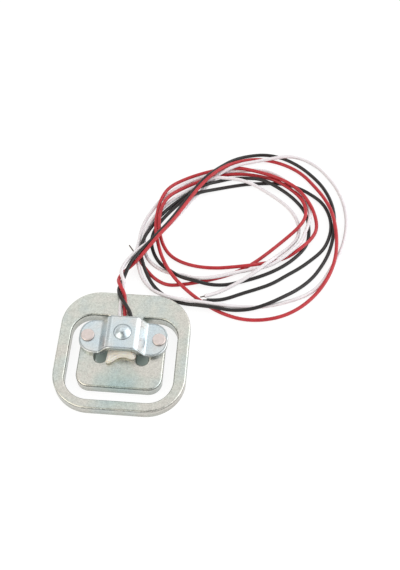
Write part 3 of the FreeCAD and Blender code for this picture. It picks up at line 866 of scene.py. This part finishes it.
BLACK_ROUTE: List[Point] = [
    (1.5, 6.0, 3.6), (1.4, 8.4, 3.75), (0.9, 10.4, 4.4), (-0.65, 12.6, 4.7), (-2.3, 14.9, 4.8),
    (-3.15, 17.3, 3.85), (-3.0, 19.9, 2.4), (-2.3, 22.4, 2.4), (-1.6, 25.0, 3.1), (-0.5, 27.8, 3.5),
    (2.2, 32.1, 3.35), (5.2, 36.3, 3.75), (8.5, 41.6, 3.45), (11.3, 47.6, 2.9), (14.2, 53.6, 2.85),
    (17.6, 58.6, 3.25), (21.2, 63.0, 2.2), (24.9, 66.6, 1.5), (29.4, 69.2, 0.6), (34.6, 70.2, 0.5),
    (39.6, 69.2, 0.5), (44.4, 66.6, 0.5), (48.2, 63.2, 0.5), (51.4, 59.4, 0.5), (53.6, 55.0, 0.5),
    (54.7, 50.2, 0.9), (54.85, 45.6, 1.25), (54.5, 40.8, 0.85), (53.4, 36.0, 0.5), (51.4, 31.4, 0.5),
    (48.6, 26.8, 0.5), (44.6, 22.8, 0.8), (40.8, 19.8, 1.65), (37.0, 17.4, 1.65), (32.6, 15.6, 1.2),
    (27.6, 15.0, 0.9), (23.2, 15.2, 1.65), (18.6, 15.6, 1.6), (14.4, 16.3, 0.6), (11.0, 17.3, 0.5),
    (8.2, 19.0, 0.5), (5.4, 21.6, 0.6), (3.4, 24.8, 1.4), (1.9, 28.4, 1.75), (0.9, 32.2, 1.7),
    (1.5, 36.4, 1.7), (2.9, 40.4, 0.8), (4.6, 44.2, 0.5), (7.4, 48.2, 0.5), (10.8, 51.8, 0.6),
    (14.4, 54.7, 1.55), (17.8, 56.7, 1.85), (21.3, 58.9, 0.6), (25.0, 60.4, 0.5), (29.2, 60.7, 0.6),
    (33.4, 59.8, 1.7), (37.2, 58.1, 1.4), (41.6, 55.7, 0.5), (44.9, 52.2, 0.5), (46.9, 48.7, 0.5),
    (47.6, 45.0, 0.5), (47.7, 41.4, 0.5), (47.2, 38.2, 0.5), (45.2, 34.9, 0.5), (41.8, 31.3, 0.5),
    (37.8, 28.4, 0.5), (33.6, 26.2, 0.5), (29.6, 24.6, 0.5), (25.2, 23.1, 0.5), (20.8, 22.7, 0.9),
    (16.8, 23.2, 1.75), (12.8, 24.3, 1.3), (9.6, 26.0, 1.8), (6.8, 28.6, 0.6), (4.8, 31.6, 0.5),
    (3.6, 35.2, 0.5), (3.7, 38.8, 0.5), (5.0, 42.2, 0.5), (7.0, 45.6, 0.5), (9.4, 48.8, 0.6),
    (12.4, 51.6, 1.6), (16.2, 53.8, 1.6), (20.6, 55.9, 0.6), (25.2, 57.4, 0.5), (30.0, 58.6, 0.5),
    (34.8, 59.2, 0.5), (39.6, 59.5, 0.5), (44.2, 58.4, 0.5), (48.0, 56.2, 0.5), (51.4, 53.4, 0.5),
    (53.3, 49.6, 0.5), (54.05, 45.4, 0.5), (53.5, 41.2, 0.5), (51.8, 36.8, 0.5), (48.5, 33.2, 0.5),
    (45.3, 30.2, 0.5), (41.8, 27.6, 0.5), (38.0, 24.6, 0.5), (34.0, 22.6, 0.5), (29.8, 20.8, 0.5),
    (26.2, 19.0, 0.5), (23.2, 17.95, 0.75), (20.5, 17.6, 1.2),
]
WHITE_ROUTE: List[Point] = [
    (-1.5, 6.0, 3.6), (-1.8, 9.0, 3.55), (-2.0, 12.0, 3.55), (-2.1, 15.0, 3.55), (-1.95, 18.0, 3.55),
    (-2.1, 20.6, 3.65), (-3.3, 23.2, 3.6), (-2.8, 25.7, 3.3), (-1.5, 28.6, 2.95), (1.35, 32.7, 2.75),
    (4.4, 35.2, 2.5), (6.4, 38.1, 2.5), (9.2, 42.4, 2.0), (11.0, 46.4, 0.8), (13.0, 50.4, 0.5),
    (15.2, 53.6, 0.5), (18.3, 57.9, 0.5), (21.4, 61.2, 1.9), (26.7, 63.9, 2.85), (31.5, 66.2, 1.75),
    (36.6, 67.9, 1.75), (41.2, 69.2, 1.7), (45.8, 69.0, 0.8), (50.0, 66.6, 0.5), (53.4, 62.6, 0.5),
    (56.2, 57.8, 0.5), (57.9, 52.2, 0.5), (58.4, 46.6, 0.5), (57.8, 41.2, 0.5), (56.4, 36.0, 0.5),
    (54.0, 31.0, 0.5), (51.4, 25.7, 0.5), (48.0, 22.0, 0.5), (43.4, 19.6, 0.5), (38.7, 17.8, 0.5),
    (33.8, 16.7, 0.5), (28.8, 16.5, 0.6), (24.4, 16.2, 1.5), (20.0, 16.55, 1.66), (15.6, 16.8, 1.85),
    (11.6, 17.2, 1.65), (8.4, 18.1, 1.6), (5.1, 20.1, 0.75), (2.2, 23.5, 0.9), (0.9, 27.2, 1.65),
    (-0.2, 31.0, 1.75), (0.2, 35.3, 0.8), (0.3, 39.4, 0.5), (1.2, 43.5, 0.5), (2.9, 47.4, 0.5),
    (5.0, 51.2, 0.5), (8.8, 55.2, 0.5), (13.2, 58.7, 0.5), (17.9, 61.1, 0.5), (22.8, 62.65, 0.5),
    (27.2, 63.3, 0.5), (32.4, 64.2, 0.5), (36.6, 63.4, 0.5), (40.3, 60.1, 1.6), (43.4, 57.6, 1.6),
    (46.4, 54.0, 0.6), (47.95, 49.6, 0.8), (47.7, 45.4, 1.75), (46.4, 41.2, 1.65), (45.4, 38.0, 1.9),
    (43.0, 34.9, 2.15), (40.2, 32.1, 1.9), (36.9, 29.6, 1.65), (32.8, 28.2, 1.65), (28.6, 27.0, 1.65),
    (24.4, 25.5, 1.65), (20.4, 24.3, 1.8), (16.6, 24.4, 1.1), (13.2, 25.6, 0.5), (10.4, 25.7, 0.5),
    (7.5, 26.6, 0.5), (4.7, 28.3, 0.5), (2.5, 31.0, 0.5), (1.5, 35.2, 0.5), (1.4, 39.6, 0.5),
    (2.9, 43.6, 0.5), (6.4, 49.2, 0.5), (9.8, 52.6, 0.5), (13.4, 55.6, 0.5), (17.0, 57.9, 1.2),
    (19.6, 59.0, 2.25), (23.0, 59.3, 1.8), (26.8, 59.2, 1.75), (30.6, 58.1, 1.6), (34.6, 56.5, 0.5),
    (38.3, 53.8, 0.5), (41.6, 51.0, 0.5), (43.9, 47.5, 0.5), (45.0, 43.3, 0.5), (44.4, 39.8, 0.5),
    (42.0, 36.6, 0.6), (39.2, 33.4, 1.35), (36.4, 30.0, 2.8), (33.8, 27.3, 2.85), (31.1, 25.0, 2.4),
    (28.3, 23.2, 1.75), (25.3, 21.4, 1.2), (22.6, 19.75, 1.15), (19.85, 18.6, 1.5),
]


def wires() -> List[Wire]:
    """Lists the three wires with their routes from the silicone to the stripped ends.

    Returns:
        The red, black and white wire.
    """
    red = InsulationFinish("pvc_red", (0.47, 0.018, 0.027), (0.57, 0.032, 0.043))
    black = InsulationFinish("pvc_black", (0.014, 0.0105, 0.0105), (0.022, 0.0175, 0.0175))
    white = InsulationFinish("pvc_white", (0.86, 0.80, 0.83), (0.90, 0.85, 0.875))
    return [
        Wire("red", Slot.RED, red, RED_ROUTE, length=452.6, bare=3.3),
        Wire("black", Slot.BLACK, black, BLACK_ROUTE, length=442.9, bare=1.1),
        Wire("white", Slot.WHITE, white, WHITE_ROUTE, length=442.8, bare=1.2),
    ]


@dataclass
class PhotoCamera:
    """The camera at the photograph's place: above the front edge, looking down on the part."""

    place: Point = (28.345, -107.556, 208.029)
    azimuth: float = 4.405
    elevation: float = 57.815
    focal_px: float = 900.0
    frame_long_px: float = 570.0
    sensor_mm: float = 36.0
    nearest: float = 10.0

    def build(self) -> bpy.types.Object:
        """Makes the scene's camera.

        Returns:
            The camera.
        """
        data = bpy.data.cameras.new("camera")
        data.sensor_width = self.sensor_mm
        data.lens = self.focal_px / self.frame_long_px * self.sensor_mm
        data.clip_start = self.nearest * MM
        camera = object_of("camera", data)
        turn, tilt = math.radians(self.azimuth), math.radians(self.elevation)
        level = math.cos(tilt)
        back = Vector((math.sin(turn) * level, -math.cos(turn) * level, math.sin(tilt)))
        camera.rotation_mode = "QUATERNION"
        camera.rotation_quaternion = (-back).to_track_quat("-Z", "Y")
        camera.location = Vector(self.place) * MM
        bpy.context.scene.camera = camera
        return camera


@dataclass
class SoftBox:
    """One soft studio lamp, square, aimed at the part, with its sizes in metres."""

    name: str
    direction: Point
    distance: float
    side: float
    power: float
    colour: Rgb

    def build(self, target: Vector) -> None:
        """Makes the lamp.

        Args:
            target: The point that it is aimed at.
        """
        lamp = bpy.data.lights.new(self.name, "AREA")
        lamp.shape = "SQUARE"
        lamp.size = self.side
        lamp.energy = self.power
        lamp.color = self.colour
        holder = object_of(self.name, lamp)
        aim = Vector(self.direction).normalized()
        holder.location = target + aim * self.distance
        holder.rotation_mode = "QUATERNION"
        holder.rotation_quaternion = aim.to_track_quat("Z", "Y")


@dataclass(frozen=True)
class RoomPanel:
    """A soft patch of the room that is lighter or darker than the rest."""

    direction: Point
    reach: Span
    light: float

    def glow(self, nodes: Nodes) -> Socket:
        """Gives the panel's light.

        Args:
            nodes: The room's nodes.

        Returns:
            The light that it adds to the room's, or takes from it.
        """
        toward = nodes.add("ShaderNodeVectorMath", operation="DOT_PRODUCT")
        toward.inputs[1].default_value = Vector(self.direction).normalized()
        nodes.join(nodes.place, toward.inputs[0])
        return nodes.spread(toward.outputs["Value"], self.reach, (0.0, self.light), "SMOOTHSTEP")


@dataclass
class Studio:
    """A pale floor, a soft room that is darker overhead, and two soft boxes beside the camera."""

    floor_side: float = 6.0
    floor_drop: float = 0.02 * MM
    floor_grey: float = 0.8
    floor_shade: float = 0.24
    # Painted shadow: the looking rays' glow is dark green-grey under the plate, where its slots show
    # shade, and near white from 9.4 mm out.
    painted_shadow_middle: Point = (0.0, 2.5, 0.0)
    floor_glow_and_painted_shadow: Sequence[Tuple[float, Rgb]] = (
        (5.6, (0.075, 0.10, 0.09)),
        (8.0, (0.165, 0.205, 0.185)),
        (9.4, (0.84, 0.84, 0.84)),
    )
    room: Sequence[Tuple[float, Rgb]] = (
        (0.0, (0.95, 0.95, 0.94)),
        (0.35, (0.74, 0.75, 0.75)),
        (0.7, (0.42, 0.44, 0.44)),
        (1.0, (0.26, 0.27, 0.27)),
    )
    panels: Sequence[RoomPanel] = (
        RoomPanel((-0.04, 0.53, 0.848), (0.82, 0.94), 0.55),
        RoomPanel((-0.6, 0.53, 0.6), (0.84, 0.97), 0.25),
        RoomPanel((-0.85, 0.5, 0.05), (0.70, 0.95), -0.33),
        RoomPanel((0.04, -0.53, 0.846), (0.76, 0.95), -0.24),
        RoomPanel((0.83, 0.5, 0.2), (0.70, 0.92), 0.65),
    )
    white_reach: Span = (0.03, 0.12)
    target: Point = (15.0, 20.0, 0.0)
    lamps: List[SoftBox] = field(default_factory=lambda: [
        SoftBox("key_right", (0.787, 0.019, 0.618), 0.55, 0.75, 1.8, (0.95, 0.98, 1.0)),
        SoftBox("fill_left", (-0.56, -0.473, 0.681), 0.6, 0.55, 1.4, (1.0, 0.93, 0.82)),
    ])

    def build(self) -> None:
        """Makes the floor, the room's light and the lamps."""
        self.lay_floor()
        self.light_room()
        for lamp in self.lamps:
            lamp.build(Vector(self.target) * MM)
        bpy.context.scene.view_settings.view_transform = "Standard"

    def lay_floor(self) -> None:
        """Makes the floor, a plain sheet just under the part."""
        mesh = bmesh.new()
        bmesh.ops.create_grid(mesh, x_segments=1, y_segments=1, size=self.floor_side / 2)
        bmesh.ops.translate(mesh, vec=(0, 0, -self.floor_drop), verts=mesh.verts)
        floor = piece_from("floor", mesh)
        dress(floor, self.floor_material())

    def floor_material(self) -> bpy.types.Material:
        """Builds the floor's finish: plain in its light on the part, near white where it is looked at.

        Returns:
            The material, which keeps the part's shadow and has a painted shadow where the plate covers it.
        """
        material = bpy.data.materials.new("floor_pale")
        material.use_nodes = True
        material.node_tree.nodes.clear()
        nodes = Nodes(material.node_tree)
        plain = self.matt(nodes, self.floor_grey)
        shaded = self.matt(nodes, self.floor_shade)
        glow = nodes.add("ShaderNodeEmission")
        # The glow paints the shadow under the plate and lifts the rest of the floor to near white.
        nodes.join(nodes.level(nodes.away_from(self.painted_shadow_middle), self.floor_glow_and_painted_shadow), glow.inputs["Color"])
        seen = nodes.add("ShaderNodeAddShader")
        nodes.join(shaded, seen.inputs[0])
        nodes.join(glow.outputs[0], seen.inputs[1])
        choice = nodes.add("ShaderNodeMixShader")
        nodes.join(nodes.looking_rays(), choice.inputs["Fac"])
        nodes.join(plain, choice.inputs[1])
        nodes.join(seen.outputs[0], choice.inputs[2])
        output = nodes.add("ShaderNodeOutputMaterial")
        nodes.join(choice.outputs[0], output.inputs["Surface"])
        return material

    def matt(self, nodes: Nodes, grey: float) -> Socket:
        """Adds a matt grey surface.

        Args:
            nodes: The material's nodes.
            grey: Its grey, from 0 to 1.

        Returns:
            The surface.
        """
        node = nodes.add("ShaderNodeBsdfDiffuse")
        node.inputs["Color"].default_value = (grey, grey, grey, 1.0)
        return node.outputs[0]

    def light_room(self) -> None:
        """Lights the room from all round, pale at the horizon and darker overhead, with a few soft panels.

        The camera sees it as plain white, and so do mirrored rays close to the horizon.
        """
        world = bpy.data.worlds.new("room")
        bpy.context.scene.world = world
        world.use_nodes = True
        nodes = Nodes(world.node_tree, "Generated")
        rise = nodes.height()
        light = nodes.ramp(rise, self.room)
        for panel in self.panels:
            light = nodes.blend("ADD", light, panel.glow(nodes))
        near_horizon = nodes.spread(rise, self.white_reach, (1.0, 0.0))
        seen = nodes.add("ShaderNodeMix", data_type="RGBA")
        seen.inputs["B"].default_value = (1.0, 1.0, 1.0, 1.0)
        nodes.join(nodes.looking_rays(near_horizon), seen.inputs["Factor"])
        nodes.join(light, seen.inputs["A"])
        nodes.join(seen.outputs["Result"], world.node_tree.nodes["Background"].inputs["Color"])


def main() -> None:
    """Builds the camera, the wires, the finishes and the studio in order."""
    logging.basicConfig(level=logging.INFO, format="%(name)s: %(message)s")
    PhotoCamera().build()
    for wire in wires():
        LOG.info("laid %s", ", ".join(wire.build()))
    LOG.info("ran on %s", ", ".join(SiliconeCoat().build()))
    LOG.info("dressed %s", ", ".join(SteelBody().dress() + Gauge().dress()))
    Studio().build()


if __name__ == "__main__":
    main()
